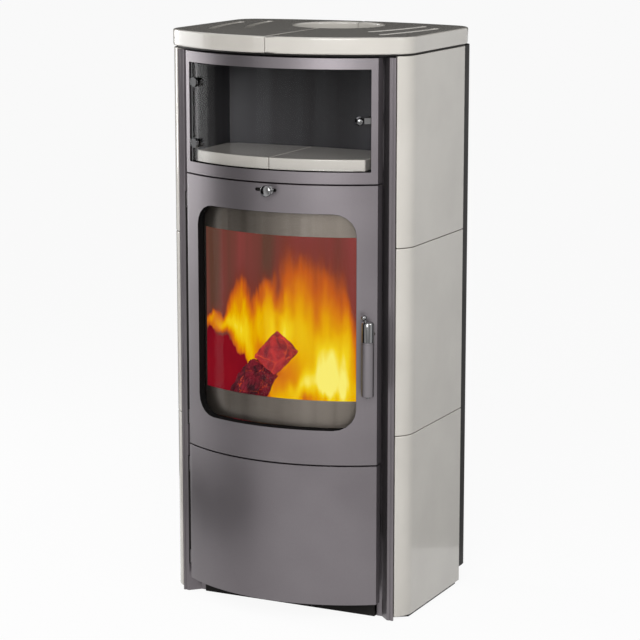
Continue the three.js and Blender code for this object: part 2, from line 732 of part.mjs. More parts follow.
const GLASS_HALF = 188;
const GLASS_Z = [397.5, 856.5];
const GLASS_FRONT = DOOR_DEPTH + GAP;
const GLASS_BACK = GLASS_FRONT + 4;
const SEAL_DEPTH = 8;

function fireGlass(grow = 0) {
  return band(-GLASS_HALF - grow, GLASS_HALF + grow, GLASS_FRONT - 2 * grow, GLASS_BACK + grow,
    GLASS_Z[0] - grow, GLASS_Z[1] + grow);
}

add('fire_door_glass', fireGlass(), clearGlass);

function glassRetainer() {
  const frame = ring(195, [390.5, 863.5], 19, 184, [401.5, 852.5], 8, GLASS_FRONT, GLASS_BACK + 2.2);
  return cut(frame, fireGlass(GAP));
}

add('glass_retainer', glassRetainer(), blackSteel);

function ropeSeal() {
  return ring(204, [381.5, 872.5], 28, 196, [389.5, 864.5], 20, GLASS_FRONT, DOOR_DEPTH + SEAL_DEPTH);
}

add('fire_door_seal', ropeSeal(), sealRope);

// hinge strip on the sloping flank of the left profile, with a bracket and a pin
// under each knuckle
function hingeStrip(hinges) {
  const diagonal = Math.SQRT1_2;
  const flankY = PROFILE_FRONT_Y + PROFILE_INNER;
  const toFlank = (flankY + HINGE_X - HINGE_Y) * diagonal;
  // a point beside the pin: along the flank, and towards the front of it
  const beside = (along, forward) => [
    HINGE_X + (along + forward) * diagonal,
    HINGE_Y + (along - forward) * diagonal,
  ];
  const rectangle = (half, front, back) => [
    beside(-half, front), beside(half, front), beside(half, back), beside(-half, back)];
  const skin = 2;
  const stripHalf = 4.2;
  const foot = hinges[0] - 6;
  const head = hinges[hinges.length - 1] + HINGE_LENGTH;
  let strip = prism(rectangle(stripHalf, -toFlank + GAP + skin, -toFlank + GAP), foot, head);
  hinges.forEach((z) => {
    const bracket = prism(rectangle(3.4, 1, -toFlank + GAP + skin / 2), z - 6, z - GAP - 1);
    const pin = rod([HINGE_X, HINGE_Y, z - 4], [HINGE_X, HINGE_Y, z + HINGE_LENGTH + 2], HINGE_PIN, 16);
    strip = join(strip, bracket, pin);
  });
  return strip;
}

add('fire_door_hinge', hingeStrip(FIRE_HINGES), blackSteel);
add('lower_door_hinge', hingeStrip(LOWER_HINGES), blackSteel);

// ---- door handle: shaft with cam, chrome sleeve with its ball, and a tube grip
const SHAFT_TIP_Y = HANDLE_Y + 13;
const CAM_REACH = 4.8;
const CAM_HUB = 3.9;

function handleShaft() {
  const shaft = rod([HANDLE_X, SHAFT_TIP_Y, HANDLE_Z], [HANDLE_X, CAM_Y[0], HANDLE_Z], HANDLE_SHAFT, 16);
  const hub = rod([HANDLE_X, CAM_Y[0], HANDLE_Z], [HANDLE_X, CAM_Y[1], HANDLE_Z], CAM_HUB, 16);
  const tongue = box(HANDLE_X - CAM_REACH, HANDLE_X, ...CAM_Y, HANDLE_Z - 3, HANDLE_Z + 3);
  return join(shaft, hub, tongue);
}

add('handle_shaft', handleShaft(), brushedSteel);

const SLEEVE = [594, 635];
const GRIP = [478, 593.4];
const GRIP_RADIUS = 12.5;
const BALL = { radius: 6, left: 8, forward: 1.5, z: 643 };

function handleSleeve() {
  const radius = GRIP_RADIUS;
  const height = SLEEVE[1] - SLEEVE[0];
  const body = turned(
    [
      [0, 0], [radius, 0], [radius, height - 4], [radius - 1.2, height - 1.2],
      [radius - 4, height], [0, height],
    ], [HANDLE_X, HANDLE_Y, SLEEVE[0]], [0, 0, 1], 20);
  const stemTop = [HANDLE_X - BALL.left, HANDLE_Y - BALL.forward, BALL.z];
  const stem = rod([HANDLE_X - BALL.left / 2, HANDLE_Y, SLEEVE[1] - 4], stemTop, 2.6, 12);
  const ball = toSolid(new THREE.SphereGeometry(BALL.radius, 12, 8).translate(...stemTop));
  const behind = HANDLE_Y + radius + 5;
  const socket = rod(
    [HANDLE_X, SHAFT_TIP_Y - GAP, HANDLE_Z], [HANDLE_X, behind, HANDLE_Z], HANDLE_SHAFT + GAP, 16);
  return cut(join(body, stem, ball), socket);
}

add('handle_sleeve', handleSleeve(), chrome);

function handleGrip() {
  const foot = 4;
  return turned([
    [0, 0], [5, 0], [5, foot], [GRIP_RADIUS - 2, foot], [GRIP_RADIUS, foot + 2],
    [GRIP_RADIUS, GRIP[1] - GRIP[0]], [0, GRIP[1] - GRIP[0]],
  ], [HANDLE_X, HANDLE_Y, GRIP[0]], [0, 0, 1]);
}

add('handle_grip', handleGrip(), brushedSteel);

// ---- air slide: knob in front of the door, plate behind it
const AIR_KNOB_REACH = TOP_REAR_Y + frontY(AIR_X) - GAP;
const AIR_PLATE_Y = frontY(AIR_SLOT_HALF - AIR_PIN + AIR_PLATE_HALF) + DOOR_SHEET + GAP;

function airKnob() {
  const start = [AIR_X, frontY(AIR_X) - GAP, AIR_Z];
  const profile = [
    [0, 0], [8.5, 0], [9, 1], [9, 3.4], [6.2, 5], [5, 9], [6.5, 13], [10.5, 16], [12, 18.5],
    [12, 20.5], [10.8, 22.2], [7, AIR_KNOB_REACH - 0.4], [0, AIR_KNOB_REACH],
  ];
  const head = turned(profile, start, [0, -1, 0], 18);
  const neck = rod([AIR_X, frontY(AIR_X) - 2, AIR_Z], [AIR_X, AIR_PLATE_Y - GAP, AIR_Z], AIR_PIN, 16);
  return join(head, neck);
}

add('air_knob', airKnob(), chrome);
add('air_slide_plate', box(
  AIR_X - AIR_PLATE_HALF, AIR_X + AIR_PLATE_HALF, AIR_PLATE_Y, AIR_PLATE_Y + 2,
  AIR_Z - AIR_PLATE_TALL / 2, AIR_Z + AIR_PLATE_TALL / 2), blackSteel);

// ---- lower door, held shut by a magnet on the lip of the right profile
const MAGNET = { x: [196, 206], z: [170, 200], front: -146 };
const LOWER_DOOR_DEPTH = 18;

function lowerDoor() {
  const { shell, inner } = bentDoor(...LOWER_DOOR, LOWER_DOOR_DEPTH);
  const striker = box(...MAGNET.x, TOP_FRONT_Y, MAGNET.front - GAP, ...MAGNET.z);
  const behindFace = band(-DOOR_HALF, DOOR_HALF, DOOR_SHEET / 2, DOOR_DEPTH * 2, ...LOWER_DOOR);
  return hinged(join(cut(shell, inner), striker.intersect(behindFace)), LOWER_HINGES);
}

add('lower_door_panel', lowerDoor(), paintedSteel);
add('lower_door_magnet', box(
  ...MAGNET.x, MAGNET.front, PROFILE_FRONT_Y + PROFILE_FLANK - GAP, ...MAGNET.z), blackSteel);

// ---- firebox shell
const FRONT_FRAME = DOOR_DEPTH + SEAL_DEPTH + GAP;
const FRONT_FRAME_HALF = 203.5;
const MOUTH = { half: 178.4, z: [399, 862], corner: 20 };

function fireboxFront() {
  const frame = band(-FRONT_FRAME_HALF, FRONT_FRAME_HALF, FRONT_FRAME, FRONT_FRAME + FIREBOX_WALL,
    HEARTH_Z + 3, FIREBOX_TOP + 16);
  return cut(frame, frontHole(MOUTH.half, ...MOUTH.z, MOUTH.corner));
}

add('firebox_front', fireboxFront(), castIron);

const FIREBOX_SIDE_Y = frontY(FIREBOX_HALF, FRONT_FRAME + FIREBOX_WALL) + 0.6;

// the grate hangs in the hearth brick, over a smaller hole in the floor
const GRATE_HOLE = { x: [-85, 85], y: [-65, 125] };
const GRATE_LEDGE = 10;

function fireboxPlate(z0, z1) {
  return box(-FIREBOX_HALF, FIREBOX_HALF, FIREBOX_SIDE_Y, FIREBOX_REAR_Y, z0, z1);
}

function grateWell(ledge, z0, z1) {
  const [x0, x1] = GRATE_HOLE.x;
  const [y0, y1] = GRATE_HOLE.y;
  return box(x0 + ledge, x1 - ledge, y0 + ledge, y1 - ledge, z0, z1);
}

add('firebox_floor', cut(
  fireboxPlate(HEARTH_Z - FIREBOX_WALL, HEARTH_Z),
  grateWell(GRATE_LEDGE, HEARTH_Z - 6, HEARTH_Z + 6)), castIron);
add('firebox_ceiling', cut(
  fireboxPlate(FIREBOX_TOP, FIREBOX_TOP + FIREBOX_WALL),
  rod([0, FLUE_Y, FIREBOX_TOP - 5], [0, FLUE_Y, FIREBOX_TOP + 8], FLUE_RADIUS + GAP, 40)), castIron);

// the side walls and the back are one folded sheet
function fireboxShell() {
  const [z0, z1] = [HEARTH_Z + GAP, FIREBOX_TOP - GAP];
  const inner = FIREBOX_HALF - FIREBOX_WALL;
  return join(
    box(inner, FIREBOX_HALF, FIREBOX_SIDE_Y, FIREBOX_REAR_Y, z0, z1),
    box(-FIREBOX_HALF, -inner, FIREBOX_SIDE_Y, FIREBOX_REAR_Y, z0, z1),
    box(-FIREBOX_HALF, FIREBOX_HALF, FIREBOX_REAR_Y - FIREBOX_WALL, FIREBOX_REAR_Y, z0, z1),
  );
}

add('firebox_shell', fireboxShell(), castIron);

// ---- fire-resistant lining
const LINING_HALF = FIREBOX_HALF - FIREBOX_WALL - GAP;
const LINING_FRONT = -126;
const LINING_REAR = FIREBOX_REAR_Y - FIREBOX_WALL - GAP;
add('hearth_brick', cut(
  box(-LINING_HALF, LINING_HALF, LINING_FRONT, LINING_REAR, HEARTH_Z + GAP, BRICK_FLOOR_TOP),
  grateWell(0, HEARTH_Z - 5, BRICK_FLOOR_TOP + 5)), firebrick);
addPair('side_brick', box(
  LINING_HALF - BRICK, LINING_HALF, LINING_FRONT, LINING_REAR,
  BRICK_FLOOR_TOP + GAP, BRICK_WALL_TOP), firebrick);
add('rear_brick', box(
  -LINING_HALF + BRICK + GAP, LINING_HALF - BRICK - GAP, LINING_REAR - BRICK, LINING_REAR,
  BRICK_FLOOR_TOP + GAP, BRICK_WALL_TOP), firebrick);
const BAFFLE_FRONT_Y = -40;
const BAFFLE_THICKNESS = 25;
add('baffle_plate', box(
  -LINING_HALF, LINING_HALF, BAFFLE_FRONT_Y, LINING_REAR,
  BRICK_WALL_TOP + GAP, BRICK_WALL_TOP + BAFFLE_THICKNESS), firebrick);

const GRATE_SLOTS = { rows: 7, first: -46, pitch: 25, width: 9, half: 66 };

function grate() {
  const { rows, first, pitch, width, half } = GRATE_SLOTS;
  const slots = [];
  for (let i = 0; i < rows; i += 1) {
    const y = first + i * pitch;
    slots.push(box(-half, half, y, y + width, HEARTH_Z - 3, HEARTH_Z + 15));
  }
  return cut(grateWell(0.5, HEARTH_Z + GAP, HEARTH_Z + 12), ...slots);
}

add('grate', grate(), castIron);

// ---- bright curved plates behind the glass: log retainer below, air deflector above
const DEFLECTOR_HALF = 178;
const DEFLECTOR_FRONT = GLASS_BACK + 0.7;
const DEFLECTOR_BACK = FRONT_FRAME - 0.7;

function deflector(z0, z1) {
  return band(-DEFLECTOR_HALF, DEFLECTOR_HALF, DEFLECTOR_FRONT, DEFLECTOR_BACK, z0, z1);
}

add('log_retainer', deflector(405, 461), brushedSteel);
add('air_deflector', deflector(798, 850), brushedSteel);

// ---- flue
const FLUE_TOP = 1183;
add('flue_pipe', pipe(
  [0, FLUE_Y, FIREBOX_TOP + 0.5], [0, FLUE_Y, FLUE_TOP], FLUE_RADIUS, FLUE_WALL, 40), castIron);

// ---- ash pan on two rails under the firebox floor
const PAN_HALF = 94;
const PAN = { front: -108, rear: 128, z0: 262, z1: 316, wall: 1.5 };
const PAN_PULL = { half: 30, reach: 12, drop: 22, wall: 3 };

function ashPan() {
  const { front, rear, z0, z1, wall } = PAN;
  const hollow = box(-PAN_HALF + wall, PAN_HALF - wall, front + wall, rear - wall, z0 + wall, z1 + 5);
  const pullFoot = z1 - PAN_PULL.drop;
  const pull = box(
    -PAN_PULL.half, PAN_PULL.half, front - PAN_PULL.reach, front + 1, pullFoot, pullFoot + PAN_PULL.wall);
  return join(cut(box(-PAN_HALF, PAN_HALF, front, rear, z0, z1), hollow), pull);
}

add('ash_pan', ashPan(), brushedSteel);

const RAIL = { wall: 2.5, shelf: 12, clear: 1.5, y: [-100, 150] };

function panRail() {
  const top = PAN.z0 - GAP;
  const head = HEARTH_Z - FIREBOX_WALL - GAP;
  const web = PAN_HALF + RAIL.clear;
  const outline = [
    [PAN_HALF - RAIL.shelf, top - RAIL.wall], [web + RAIL.wall, top - RAIL.wall], [web + RAIL.wall, head],
    [web, head], [web, top], [PAN_HALF - RAIL.shelf, top],
  ];
  return frontPrism(outline, ...RAIL.y);
}

addPair('pan_rail', panRail(), blackSteel);

export default group;
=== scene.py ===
# %% [markdown]
# # A tiled stove, dressed in Blender
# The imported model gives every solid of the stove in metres, with the front facing -Y and
# the floor at z = 0. Each step below takes one piece or one finish. Where a solid has the
# right shape but is faceted, a copy of it is merged and rounded, and stands in its place.

# %% Load the frame
import math
import random

import bmesh
import bpy
from mathutils import Matrix, Vector


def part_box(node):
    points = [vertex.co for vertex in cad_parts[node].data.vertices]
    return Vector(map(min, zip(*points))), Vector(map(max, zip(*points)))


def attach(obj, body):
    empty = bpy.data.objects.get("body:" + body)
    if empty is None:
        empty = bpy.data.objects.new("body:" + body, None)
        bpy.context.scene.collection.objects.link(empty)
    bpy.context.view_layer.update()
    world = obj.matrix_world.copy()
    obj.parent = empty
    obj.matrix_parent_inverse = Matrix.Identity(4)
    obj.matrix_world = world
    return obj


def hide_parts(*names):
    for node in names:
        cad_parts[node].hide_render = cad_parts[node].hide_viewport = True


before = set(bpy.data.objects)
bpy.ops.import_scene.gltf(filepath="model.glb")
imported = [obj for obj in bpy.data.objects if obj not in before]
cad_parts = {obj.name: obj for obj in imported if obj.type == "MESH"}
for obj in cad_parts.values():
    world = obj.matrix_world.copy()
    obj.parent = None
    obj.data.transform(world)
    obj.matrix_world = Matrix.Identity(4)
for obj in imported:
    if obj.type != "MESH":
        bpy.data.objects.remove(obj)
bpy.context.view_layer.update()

# %% [markdown]
# ## Camera
# The stove stands 4.9 m away from a long lens, seen from its front right and a little from
# above. The sight line is given as a turn about the vertical and a downward tilt.

# %% Camera
MM = 0.001
SIGHT_TURN = math.radians(25.901)
SIGHT_DROP = math.radians(11.240)
camera_data = bpy.data.cameras.new("camera")
camera_data.lens = 133.58
camera_data.sensor_width = 36.0
camera = bpy.data.objects.new("camera", camera_data)
camera.location = (2.15756, -4.41526, 1.56456)
camera.rotation_euler = (math.pi / 2 - SIGHT_DROP, 0.0, SIGHT_TURN)
bpy.context.scene.collection.objects.link(camera)
bpy.context.scene.camera = camera
bpy.context.scene.view_settings.view_transform = "Standard"
print("camera", [round(v, 2) for v in camera.location])

# %% [markdown]
# ## Room and light
# The floor and the world are white where the camera, a reflection or a pane looks at them,
# and dimmer as a light, so that the stove keeps its own colours. A small share of plain
# diffuse keeps the stove's shadow on the floor.

# %% Node helpers
def tree_of(owner):
    owner.use_nodes = True
    tree = owner.node_tree
    tree.nodes.clear()
    return tree


def node(tree, kind, inputs=None, **settings):
    made = tree.nodes.new(kind)
    for name, value in settings.items():
        setattr(made, name, value)
    for name, value in (inputs or {}).items():
        if isinstance(value, bpy.types.NodeSocket):
            tree.links.new(value, made.inputs[name])
        else:
            made.inputs[name].default_value = value
    return made


def maths(tree, operation, first, second=0.0, third=0.0):
    return node(tree, "ShaderNodeMath", {0: first, 1: second, 2: third}, operation=operation).outputs[0]


def seen_as_background(tree):
    path = node(tree, "ShaderNodeLightPath")
    seen = maths(tree, "MAXIMUM", path.outputs["Is Camera Ray"], path.outputs["Is Glossy Ray"])
    return maths(tree, "MAXIMUM", seen, path.outputs["Is Transmission Ray"])


# %% World and floor
ROOM_LIGHT = 0.30
FLOOR_SHADOW = 0.07
FLOOR_HALF = 60.0

world = bpy.data.worlds.new("studio")
bpy.context.scene.world = world
tree = tree_of(world)
level = maths(tree, "MULTIPLY_ADD", seen_as_background(tree), 1.0 - ROOM_LIGHT, ROOM_LIGHT)
sky = node(tree, "ShaderNodeBackground", {"Color": (1, 1, 1, 1), "Strength": level})
node(tree, "ShaderNodeOutputWorld", {"Surface": sky.outputs[0]})

floor_finish = bpy.data.materials.new("floor")
tree = tree_of(floor_finish)
plain = node(tree, "ShaderNodeBsdfDiffuse", {"Color": (0.8, 0.8, 0.8, 1)})
white = node(tree, "ShaderNodeEmission", {"Color": (1, 1, 1, 1), "Strength": 1.0})
share = maths(tree, "MULTIPLY", seen_as_background(tree), 1.0 - FLOOR_SHADOW)
floor_mix = node(tree, "ShaderNodeMixShader", {0: share, 1: plain.outputs[0], 2: white.outputs[0]})
node(tree, "ShaderNodeOutputMaterial", {"Surface": floor_mix.outputs[0]})

bm = bmesh.new()
bmesh.ops.create_grid(bm, x_segments=1, y_segments=1, size=FLOOR_HALF)
floor_mesh = bpy.data.meshes.new("floor")
bm.to_mesh(floor_mesh)
bm.free()
floor = bpy.data.objects.new("floor", floor_mesh)
floor_mesh.materials.append(floor_finish)
bpy.context.scene.collection.objects.link(floor)


# %% Soft boxes
def soft_box(name, turn, distance, height, size, power, drop=0.0):
    """A lamp at a turn about the stove (0 = in front, 90 = right), aimed at its axis."""
    light = bpy.data.lights.new(name, "AREA")
    light.shape = "RECTANGLE"
    light.size, light.size_y = size
    light.energy = power
    lamp = bpy.data.objects.new(name, light)
    angle = math.radians(turn)
    lamp.location = (distance * math.sin(angle), -distance * math.cos(angle), height)
    aim = Vector((0, 0, height - drop)) - lamp.location
    lamp.rotation_euler = aim.to_track_quat("-Z", "Y").to_euler()
    bpy.context.scene.collection.objects.link(lamp)
    return lamp


soft_box("key_right", 15, 3.0, 2.0, (1.5, 1.8), 78, 0.9)
soft_box("strip_left", -93, 2.4, 1.2, (0.8, 1.2), 26, 0.3)
soft_box("side_right", 66, 2.0, 1.55, (1.0, 0.5), 13, 0.6)

# %% Cards
# Cards stand where only reflections find them. Dark ones give the curved doors their dark
# band and keep the glare off the ceramic top, and a bright one lights the left stile. Each
# goes from its level at the floor to its level at 1.3 m.
CARD_FADE_TOP = 1.3


def card_finish(name, foot, head):
    made = bpy.data.materials.new(name)
    tree = tree_of(made)
    split = node(tree, "ShaderNodeSeparateXYZ", {
        "Vector": node(tree, "ShaderNodeTexCoord").outputs["Object"]})
    level = node(tree, "ShaderNodeMapRange", {
        "Value": split.outputs["Z"], "From Max": CARD_FADE_TOP, "To Min": foot, "To Max": head})
    cloth = node(tree, "ShaderNodeEmission", {"Strength": level.outputs[0]})
    node(tree, "ShaderNodeOutputMaterial", {"Surface": cloth.outputs[0]})
    return made


def card(name, turn, distance, low, high, width, foot=0.02, head=0.02):
    bm = bmesh.new()
    bmesh.ops.create_grid(bm, x_segments=1, y_segments=1, size=0.5)
    bmesh.ops.scale(bm, vec=(width, high - low, 1), verts=bm.verts)
    angle = math.radians(turn)
    upright = Matrix.Rotation(angle, 4, "Z") @ Matrix.Rotation(math.pi / 2, 4, "X")
    spot = Vector((distance * math.sin(angle), -distance * math.cos(angle), (low + high) / 2))
    bmesh.ops.transform(bm, matrix=Matrix.Translation(spot) @ upright, verts=bm.verts)
    mesh = bpy.data.meshes.new(name)
    bm.to_mesh(mesh)
    bm.free()
    mesh.materials.append(card_finish(name, foot, head))
    made = bpy.data.objects.new(name, mesh)
    bpy.context.scene.collection.objects.link(made)
    made.visible_camera = False
    made.visible_diffuse = False
    made.visible_transmission = False
    made.visible_shadow = False


card("card_left", -48, 2.0, 0.0, 2.4, 1.15)
card("card_low", -62, 0.75, 0.0, 0.12, 1.0)
card("card_rear", 206, 2.4, 1.0, 2.8, 4.6)
card("card_back_left", -140, 1.0, 0.0, 1.16, 1.3, 0.25, 0.35)
card("card_side", 150, 0.55, 0.0, 1.16, 1.2, 0.55, 0.95)
card("card_bright", -82, 1.5, 0.5, 1.7, 0.7, 0.6, 3.4)
print("lamps and cards ready")

# %% [markdown]
# ## Finishes
# Every finish is worked out from the piece's own coordinates, so it sticks to the piece
# when a door turns. The paint is a metallic one with a fine flake, the tiles have a clear
# gloss over an even glaze, and the plain sheet steel is black and slightly rough.

# %% Finish helpers
def finish(name, **shader):
    made = bpy.data.materials.new(name)
    tree = tree_of(made)
    principled = node(tree, "ShaderNodeBsdfPrincipled", shader)
    node(tree, "ShaderNodeOutputMaterial", {"Surface": principled.outputs[0]})
    return made, tree, principled


def place(tree, scale=(1, 1, 1)):
    coordinates = node(tree, "ShaderNodeTexCoord")
    mapped = node(tree, "ShaderNodeMapping", {"Vector": coordinates.outputs["Object"], "Scale": scale})
    return mapped.outputs[0]


def grain(tree, scale, detail=3.0, stretch=(1, 1, 1)):
    return node(tree, "ShaderNodeTexNoise", {
        "Vector": place(tree, stretch), "Scale": scale, "Detail": detail}).outputs["Fac"]


def ramp(tree, value, *stops):
    made = node(tree, "ShaderNodeValToRGB", {"Fac": value})
    elements = made.color_ramp.elements
    while len(elements) < len(stops):
        elements.new(0.5)
    for element, (position, colour) in zip(elements, stops):
        element.position = position
        element.color = (*colour, 1)
    return made.outputs["Color"]


def join(tree, value, principled, socket):
    tree.links.new(value, principled.inputs[socket])


def tint(tree, principled, value, *stops):
    join(tree, ramp(tree, value, *stops), principled, "Base Color")


def spread(tree, value, low, high):
    return node(tree, "ShaderNodeMapRange", {"Value": value, "To Min": low, "To Max": high}).outputs[0]


def roughen(tree, principled, height, strength, distance):
    bump = node(tree, "ShaderNodeBump", {"Height": height, "Strength": strength, "Distance": distance})
    join(tree, bump.outputs[0], principled, "Normal")


# %% Metallic paint
paint, tree, shader = finish("metallic_paint", Metallic=0.82, Roughness=0.36)
flake = grain(tree, 1400, 2)
cloud = grain(tree, 5, 2)
tone = maths(tree, "MULTIPLY_ADD", flake, 0.5, maths(tree, "MULTIPLY", cloud, 0.5))
tint(tree, shader, tone, (0.35, (0.148, 0.133, 0.142)), (0.65, (0.195, 0.178, 0.188)))
join(tree, spread(tree, cloud, 0.33, 0.40), shader, "Roughness")
roughen(tree, shader, flake, 0.12, 0.00008)

# %% Glaze
glaze, tree, shader = finish("glaze", Roughness=0.16, **{"Coat Weight": 0.35, "Coat Roughness": 0.06})
cloud = grain(tree, 7, 3)
speck = grain(tree, 900, 2)
tone = maths(tree, "MULTIPLY_ADD", speck, 0.25, maths(tree, "MULTIPLY", cloud, 0.75))
tint(tree, shader, tone, (0.3, (0.450, 0.428, 0.392)), (0.7, (0.510, 0.487, 0.448)))
roughen(tree, shader, grain(tree, 38, 1), 0.25, 0.0006)

# %% Black sheet steel
black, tree, shader = finish("black_sheet", **{"Specular IOR Level": 0.10})
speck = grain(tree, 1200, 2)
tint(tree, shader, speck, (0.3, (0.010, 0.0095, 0.009)), (0.7, (0.022, 0.020, 0.019)))
join(tree, spread(tree, grain(tree, 12), 0.42, 0.6), shader, "Roughness")
roughen(tree, shader, speck, 0.3, 0.0001)

# %% Painted shadow line: the cut edges and rims of the openings, left dull black
shadow_line_black, tree, shader = finish("shadow_line_black", Roughness=0.9, **{"Specular IOR Level": 0.0})
speck = grain(tree, 900, 2)
tint(tree, shader, speck, (0.3, (0.004, 0.004, 0.004)), (0.7, (0.012, 0.011, 0.011)))

# %% Dark enamel of the compartment, with faint upright bands of painted reflection
enamel, tree, shader = finish("dark_enamel", **{"Specular IOR Level": 0.2})
bands = grain(tree, 16, 2, (1, 1, 0.02))
tint(tree, shader, bands, (0.35, (0.017, 0.016, 0.017)), (0.65, (0.044, 0.043, 0.047)))
join(tree, spread(tree, grain(tree, 30), 0.42, 0.55), shader, "Roughness")

# %% Paint of the grip, with painted shade that darkens it towards its sides
grip_paint_and_shade, tree, shader = finish("grip_paint_and_shade", Metallic=0.82, Roughness=0.34)
facing = node(tree, "ShaderNodeLayerWeight", {"Blend": 0.5}).outputs["Facing"]
tone = maths(tree, "MULTIPLY_ADD", grain(tree, 1400, 2), 0.06, facing)
tint(
    tree, shader, tone, (0.0, (0.20, 0.185, 0.195)), (0.35, (0.17, 0.155, 0.165)),
    (0.62, (0.035, 0.032, 0.034)))

# %% Cast iron
iron, tree, shader = finish("cast_iron", Metallic=0.5, Roughness=0.75)
pits = grain(tree, 320, 4)
tint(tree, shader, pits, (0.3, (0.016, 0.015, 0.014)), (0.7, (0.045, 0.040, 0.036)))
roughen(tree, shader, pits, 0.5, 0.0004)

# %% Chrome
# Polished metal mirrors the dark room in some directions and the bright one in others. Here that is a
# painted reflection: the base colour runs through dark and bright rings from the middle of a piece to its
# rim.
chrome, tree, shader = finish("chrome", Metallic=1.0, Roughness=0.08)
smear = grain(tree, 60, 3)
facing = node(tree, "ShaderNodeLayerWeight", {"Blend": 0.5}).outputs["Facing"]
tint(
    tree, shader, facing, (0.00, (0.20, 0.20, 0.20)), (0.04, (0.10, 0.10, 0.10)),
    (0.12, (0.26, 0.26, 0.26)), (0.20, (0.26, 0.26, 0.27)), (0.30, (0.05, 0.05, 0.052)),
    (0.48, (0.035, 0.035, 0.036)), (0.60, (0.40, 0.40, 0.40)), (0.72, (0.04, 0.04, 0.042)),
    (1.00, (0.03, 0.03, 0.032)))
join(tree, spread(tree, smear, 0.05, 0.14), shader, "Roughness")

# %% Bare sheet steel, brushed along its width
bare, tree, shader = finish("bare_sheet", Metallic=0.9, Roughness=0.4)
brush = grain(tree, 60, 3, (1, 1, 30))
bands = grain(tree, 28, 2, (1, 1, 0.02))
tone = maths(tree, "MULTIPLY_ADD", bands, 0.6, maths(tree, "MULTIPLY", brush, 0.4))
tint(tree, shader, tone, (0.3, (0.125, 0.112, 0.098)), (0.7, (0.215, 0.198, 0.180)))
join(tree, spread(tree, brush, 0.3, 0.5), shader, "Roughness")
roughen(tree, shader, brush, 0.15, 0.0001)

# %% Fire brick
brick, tree, shader = finish("fire_brick", Roughness=0.9)
soot = grain(tree, 9, 4)
pores = grain(tree, 260, 4)
tint(tree, shader, soot, (0.35, (0.045, 0.036, 0.028)), (0.7, (0.30, 0.235, 0.165)))
roughen(tree, shader, pores, 0.6, 0.0008)

# %% Rope
rope, tree, shader = finish("seal_rope", Roughness=0.95)
strands = place(tree, (1, 0.3, 1))
weave = node(
    tree, "ShaderNodeTexWave", {"Vector": strands, "Scale": 120.0, "Distortion": 2.0},
    bands_direction="DIAGONAL").outputs["Fac"]
tint(tree, shader, weave, (0.2, (0.012, 0.012, 0.012)), (0.8, (0.06, 0.058, 0.055)))
roughen(tree, shader, weave, 0.8, 0.0008)


# %% Panes: clear from the front, a mirror at a flat angle
def pane(name, colour, gloss):
    made = bpy.data.materials.new(name)
    tree = tree_of(made)
    through = node(tree, "ShaderNodeBsdfTransparent", {"Color": (*colour, 1)})
    mirror = node(tree, "ShaderNodeBsdfPrincipled", {
        "Base Color": (0.95, 0.95, 0.95, 1), "Metallic": 1.0, "Roughness": 0.03})
    waves = grain(tree, 9, 1)
    roughen(tree, mirror, waves, 0.05, 0.001)
    edge = node(tree, "ShaderNodeFresnel", {"IOR": gloss})
    mixed = node(tree, "ShaderNodeMixShader", {
        0: edge.outputs[0], 1: through.outputs[0], 2: mirror.outputs[0]})
    node(tree, "ShaderNodeOutputMaterial", {"Surface": mixed.outputs[0]})
    return made


show_pane = pane("show_pane", (0.97, 0.97, 0.97), 1.10)
fire_pane = pane("fire_pane", (0.97, 0.96, 0.95), 1.10)
print("finishes ready:", len(bpy.data.materials))

# %% [markdown]
# ## From a solid to a finished piece
# A solid of the frame is loose triangles. A copy is merged, its flat faces are joined, and
# a curved front is cut into narrow columns whose corners are set back on the true curve.
# A bevel then breaks every sharp edge, because a real edge always catches a line of light.

# %% Piece helpers
FRONT_AXIS_Y = 162.5 * MM
FRONT_RADIUS = 384 * MM
SMOOTH_BELOW = math.radians(32)
WELD_BELOW = 0.00002
made_pieces = []


def everything(bm):
    return bm.verts[:] + bm.edges[:] + bm.faces[:]


def copy_of(node_name):
    bm = bmesh.new()
    bm.from_mesh(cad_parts[node_name].data)
    bmesh.ops.remove_doubles(bm, verts=bm.verts, dist=WELD_BELOW)
    bmesh.ops.dissolve_limit(bm, angle_limit=math.radians(0.4), verts=bm.verts, edges=bm.edges)
    return bm


def onto_front_curve(bm, radii, columns):
    """Cuts a curved sheet into columns and sets its points on the true radii."""
    half = max(abs(v.co.x) for v in bm.verts)
    for i in range(1, columns):
        x = -half + 2 * half * i / columns
        bmesh.ops.bisect_plane(
            bm, geom=everything(bm), dist=1e-6, plane_co=(x, 0, 0), plane_no=(1, 0, 0))
    chord_sag = 0.4 * MM
    for v in bm.verts:
        reach = math.hypot(v.co.x, v.co.y - FRONT_AXIS_Y)
        for radius in radii:
            if radius - chord_sag < reach < radius + 0.05 * MM:
                v.co.x *= radius / reach
                v.co.y = FRONT_AXIS_Y + (v.co.y - FRONT_AXIS_Y) * radius / reach


def dark_rim(bm, half, low, high, width):
    """Chamfers the front rim of an opening and marks it and its cut faces for the second finish, dull
    black as a painted shadow line.
    """
    margin = 0.5 * MM
    flange_middle = 14 * MM

    def reach(point):
        return math.hypot(point.x, point.y - FRONT_AXIS_Y)

    def is_cut(face):
        middle = face.calc_center_median()
        outward = Vector((middle.x, middle.y - FRONT_AXIS_Y, 0)).normalized()
        in_opening = abs(middle.x) < half + margin and low - margin < middle.z < high + margin
        near_front = reach(middle) > FRONT_RADIUS - flange_middle
        return in_opening and near_front and abs(face.normal.dot(outward)) < 0.5

    cut_faces = [face for face in bm.faces if is_cut(face)]
    cut_edges = {edge for face in cut_faces for edge in face.edges}
    rim = [edge for edge in bm.edges if edge in cut_edges
           and all(reach(vert.co) > FRONT_RADIUS - 0.2 * MM for vert in edge.verts)]
    for face in cut_faces:
        face.material_index = 1
    chamfered = bmesh.ops.bevel(
        bm, geom=rim, offset=width, segments=1, affect="EDGES", profile=0.5, material=1,
        clamp_overlap=True)
    print("dark rim", len(cut_faces), "cut faces,", len(chamfered["faces"]), "chamfers")


